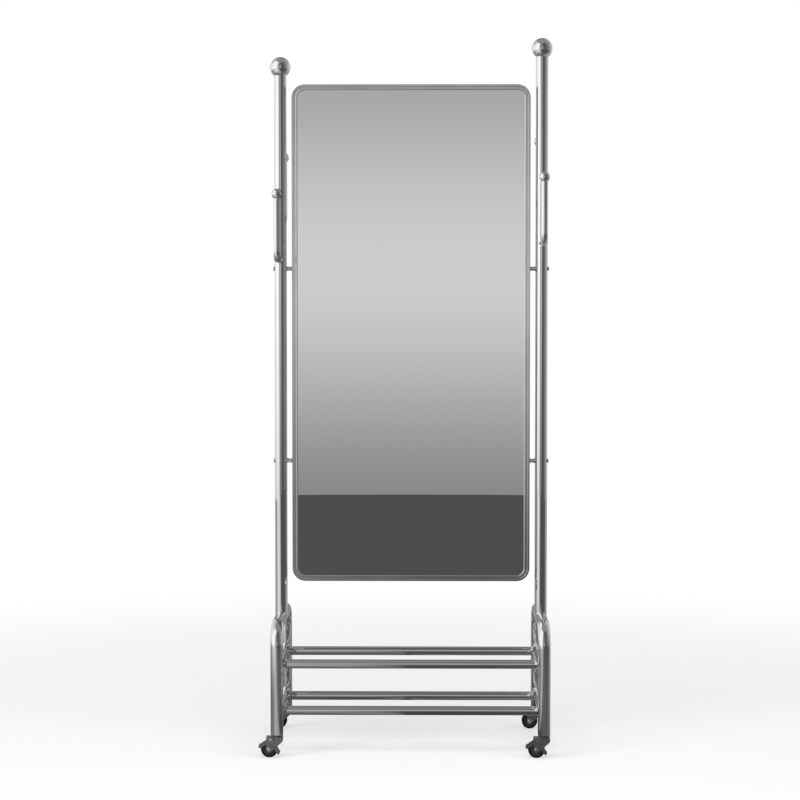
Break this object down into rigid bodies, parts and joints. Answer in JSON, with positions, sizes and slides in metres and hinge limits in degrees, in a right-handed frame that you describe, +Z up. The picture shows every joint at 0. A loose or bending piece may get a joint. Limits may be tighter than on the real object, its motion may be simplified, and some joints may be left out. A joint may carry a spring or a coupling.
{
  "type": "rolling floor mirror",
  "caption": "Rolling floor mirror: rounded framed glass between two chromed tube uprights with ball tops and coat hooks, on arched side frames with rail shelves and braked swivel casters.",
  "frame": {"origin": "on the floor under the centre of the whole outline, all casters trailing to -X", "axes": "+Z up; the mirror faces -Y; +X is the viewer's right, the side of the taller upright"},
  "size_m": [0.7051, 0.39, 1.722],
  "materials": {
    "chrome": "polished steel tube, bright",
    "satin_frame": "satin extrusion",
    "silvered_glass": "silvered float glass",
    "back_board": "dark faced fibreboard",
    "batten_wood": "sawn softwood",
    "zinc_steel": "pressed sheet, zinc plated",
    "fastener_steel": "zinc plated",
    "plain_steel": "plain turned steel",
    "black_plastic": "moulded nylon",
    "hub_plastic": "moulded grey nylon",
    "tyre": "matt dark tread"
  },
  "bodies": {
    "stand": {"left_post": "chrome", "right_post": "chrome", "finials": "chrome", "left_front_hook": "chrome", "left_rear_hook": "chrome", "right_front_hook": "chrome", "right_rear_hook": "chrome", "hook_balls": "chrome", "hook_studs": "fastener_steel", "hook_nuts": "fastener_steel", "left_arch": "chrome", "right_arch": "chrome", "front_left_leg": "chrome", "rear_left_leg": "chrome", "front_right_leg": "chrome", "rear_right_leg": "chrome", "leg_joiners": "plain_steel", "left_upper_crossbar": "chrome", "left_lower_crossbar": "chrome", "right_upper_crossbar": "chrome", "right_lower_crossbar": "chrome", "upper_front_rail": "chrome", "upper_rear_rail": "chrome", "lower_front_rail": "chrome", "lower_rear_rail": "chrome", "rail_inserts": "plain_steel", "rail_bolts": "fastener_steel", "post_inserts": "plain_steel", "post_bolts": "fastener_steel", "mirror_frame": "satin_frame", "mirror_glass": "silvered_glass", "mirror_battens": "batten_wood", "mirror_backboard": "back_board", "backboard_screws": "fastener_steel", "mirror_spacers": "chrome", "mirror_bolts": "fastener_steel", "mirror_nuts": "fastener_steel", "leg_plugs": "black_plastic", "caster_stems": "zinc_steel", "swivel_balls": "fastener_steel"},
    "front_left_caster": {"front_left_fork": "zinc_steel", "front_left_axle": "fastener_steel", "left_brake_pin": "fastener_steel"},
    "front_left_wheel": {"front_left_hub": "hub_plastic", "front_left_tyre": "tyre"},
    "front_left_lever": {"front_left_brake": "zinc_steel"},
    "front_right_caster": {"front_right_fork": "zinc_steel", "front_right_axle": "fastener_steel", "right_brake_pin": "fastener_steel"},
    "front_right_wheel": {"front_right_hub": "hub_plastic", "front_right_tyre": "tyre"},
    "front_right_lever": {"front_right_brake": "zinc_steel"},
    "rear_left_caster": {"rear_left_fork": "zinc_steel", "rear_left_axle": "fastener_steel"},
    "rear_left_wheel": {"rear_left_hub": "hub_plastic", "rear_left_tyre": "tyre"},
    "rear_right_caster": {"rear_right_fork": "zinc_steel", "rear_right_axle": "fastener_steel"},
    "rear_right_wheel": {"rear_right_hub": "hub_plastic", "rear_right_tyre": "tyre"}
  },
  "joints": [
    {"name": "front_left_swivel", "type": "hinge", "parent": "stand", "child": "front_left_caster", "pos_m": [-0.30843, -0.18, 0.05], "axis": [0, 0, 1], "continuous": true},
    {"name": "front_left_roll", "type": "hinge", "parent": "front_left_caster", "child": "front_left_wheel", "pos_m": [-0.32643, -0.18, 0.02], "axis": [0, 1, 0], "continuous": true},
    {"name": "front_left_brake_rock", "type": "hinge", "parent": "front_left_caster", "child": "front_left_lever", "pos_m": [-0.32343, -0.18, 0.0433], "axis": [0, -1, 0], "range_deg": [0, 10.5]},
    {"name": "front_right_swivel", "type": "hinge", "parent": "stand", "child": "front_right_caster", "pos_m": [0.32757, -0.18, 0.05], "axis": [0, 0, 1], "continuous": true},
    {"name": "front_right_roll", "type": "hinge", "parent": "front_right_caster", "child": "front_right_wheel", "pos_m": [0.30957, -0.18, 0.02], "axis": [0, 1, 0], "continuous": true},
    {"name": "front_right_brake_rock", "type": "hinge", "parent": "front_right_caster", "child": "front_right_lever", "pos_m": [0.31257, -0.18, 0.0433], "axis": [0, -1, 0], "range_deg": [0, 10.5]},
    {"name": "rear_left_swivel", "type": "hinge", "parent": "stand", "child": "rear_left_caster", "pos_m": [-0.30843, 0.18, 0.05], "axis": [0, 0, 1], "continuous": true},
    {"name": "rear_left_roll", "type": "hinge", "parent": "rear_left_caster", "child": "rear_left_wheel", "pos_m": [-0.32643, 0.18, 0.02], "axis": [0, 1, 0], "continuous": true},
    {"name": "rear_right_swivel", "type": "hinge", "parent": "stand", "child": "rear_right_caster", "pos_m": [0.32757, 0.18, 0.05], "axis": [0, 0, 1], "continuous": true},
    {"name": "rear_right_roll", "type": "hinge", "parent": "rear_right_caster", "child": "rear_right_wheel", "pos_m": [0.30957, 0.18, 0.02], "axis": [0, 1, 0], "continuous": true}
  ]
}
